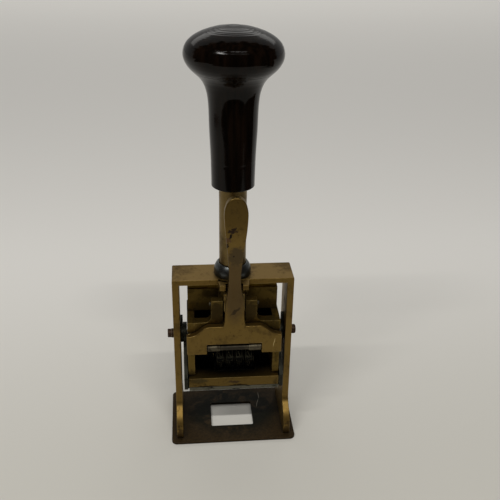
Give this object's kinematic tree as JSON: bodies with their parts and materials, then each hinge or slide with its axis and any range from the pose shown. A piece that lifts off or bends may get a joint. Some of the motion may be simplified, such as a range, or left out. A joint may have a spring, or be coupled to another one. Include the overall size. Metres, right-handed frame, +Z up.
{
  "type": "hand numbering machine",
  "caption": "Self-inking hand numbering stamp: sprung plunger in a yoke on a windowed base, mushroom handle, thumb lever, number wheels and a swinging ink tray.",
  "frame": {"origin": "centre of the base plate's underside, where the machine stands", "axes": "+Z up along the plunger, -Y towards the thumb lever, +X to the user's right"},
  "size_m": [0.0692, 0.0473, 0.2173],
  "materials": {
    "base_bronze": "dark patina",
    "yoke_brass": "aged satin",
    "carriage_brass": "aged satin",
    "lever_brass": "aged, worn bright at the edges",
    "tube_brass": "worn",
    "tray_brass": "ink stained",
    "ring_steel": "blued, polished",
    "tray_steel": "worn grey",
    "arm_steel": "dark oxidised",
    "pin_steel": "brown rust bloom",
    "screw_steel": "dull",
    "spring_steel": "spring temper",
    "handle_black": "polished black with a red-brown cast",
    "wheel_black": "inked black",
    "pad_felt": "inked felt"
  },
  "bodies": {
    "frame": {"base_plate": "base_bronze", "frame_yoke": "yoke_brass", "foot_screws": "screw_steel", "lever_guide": "yoke_brass", "guide_bush": "tube_brass", "buffer_ring": "ring_steel", "stop_pin": "pin_steel", "spring_seat": "pin_steel", "return_spring": "spring_steel"},
    "carriage": {"plunger_tube": "tube_brass", "tube_plug": "tube_brass", "handle": "handle_black", "head_block": "carriage_brass", "carriage_front": "carriage_brass", "right_cheek": "carriage_brass", "left_cheek": "carriage_brass", "cheek_screws": "screw_steel", "wheel_axle": "pin_steel", "lever_pin": "pin_steel", "lever_spring": "spring_steel", "side_pin_right": "pin_steel", "side_pin_left": "pin_steel", "wear_plate_right": "arm_steel", "wear_plate_left": "arm_steel", "detent_spring": "spring_steel", "detent_screws": "screw_steel", "rear_plate": "carriage_brass", "rear_screws": "screw_steel"},
    "ink_carrier": {"ink_tray": "tray_brass", "tray_plate": "tray_steel", "ink_pad": "pad_felt", "right_arm": "arm_steel", "left_arm": "arm_steel", "cam_followers": "pin_steel", "arm_screws": "screw_steel"},
    "lever": {"thumb_lever": "lever_brass", "pawl_rod": "pin_steel"},
    "pawl": {"pawl_comb": "pin_steel"},
    "wheel_1": {"number_wheel_1": "wheel_black"},
    "wheel_2": {"number_wheel_2": "wheel_black"},
    "wheel_3": {"number_wheel_3": "wheel_black"},
    "wheel_4": {"number_wheel_4": "wheel_black"}
  },
  "joints": [
    {"name": "plunger_slide", "type": "slide", "parent": "frame", "child": "carriage", "axis": [0, 0, -1], "range_m": [0, 0.0378], "stiffness_N_per_m": 300, "springref_m": -0.03, "deforming": ["return_spring"]},
    {"name": "tray_swing", "type": "hinge", "parent": "carriage", "child": "ink_carrier", "pos_m": [0, 0, 0.0586], "axis": [1, 0, 0], "range_deg": [0, 120]},
    {"name": "lever_pivot", "type": "hinge", "parent": "carriage", "child": "lever", "pos_m": [0, -0.01275, 0.0839], "axis": [-1, 0, 0], "range_deg": [0, 6.5], "stiffness_Nm_per_rad": 0.25, "springref_deg": -6.88},
    {"name": "pawl_pivot", "type": "hinge", "parent": "lever", "child": "pawl", "pos_m": [0, -0.01715, 0.0599], "axis": [1, 0, 0], "range_deg": [0, 8], "stiffness_Nm_per_rad": 0.005, "springref_deg": -5.73},
    {"name": "wheel_1_spin", "type": "hinge", "parent": "carriage", "child": "wheel_1", "pos_m": [-0.00665, -0.002, 0.048], "axis": [1, 0, 0], "continuous": true},
    {"name": "wheel_2_spin", "type": "hinge", "parent": "carriage", "child": "wheel_2", "pos_m": [-0.00155, -0.002, 0.048], "axis": [1, 0, 0], "continuous": true},
    {"name": "wheel_3_spin", "type": "hinge", "parent": "carriage", "child": "wheel_3", "pos_m": [0.00355, -0.002, 0.048], "axis": [1, 0, 0], "continuous": true},
    {"name": "wheel_4_spin", "type": "hinge", "parent": "carriage", "child": "wheel_4", "pos_m": [0.00865, -0.002, 0.048], "axis": [1, 0, 0], "continuous": true}
  ],
  "couplings": [
    {"joint": "tray_swing", "follows": "plunger_slide", "rad_per_m": 55.4}
  ]
}
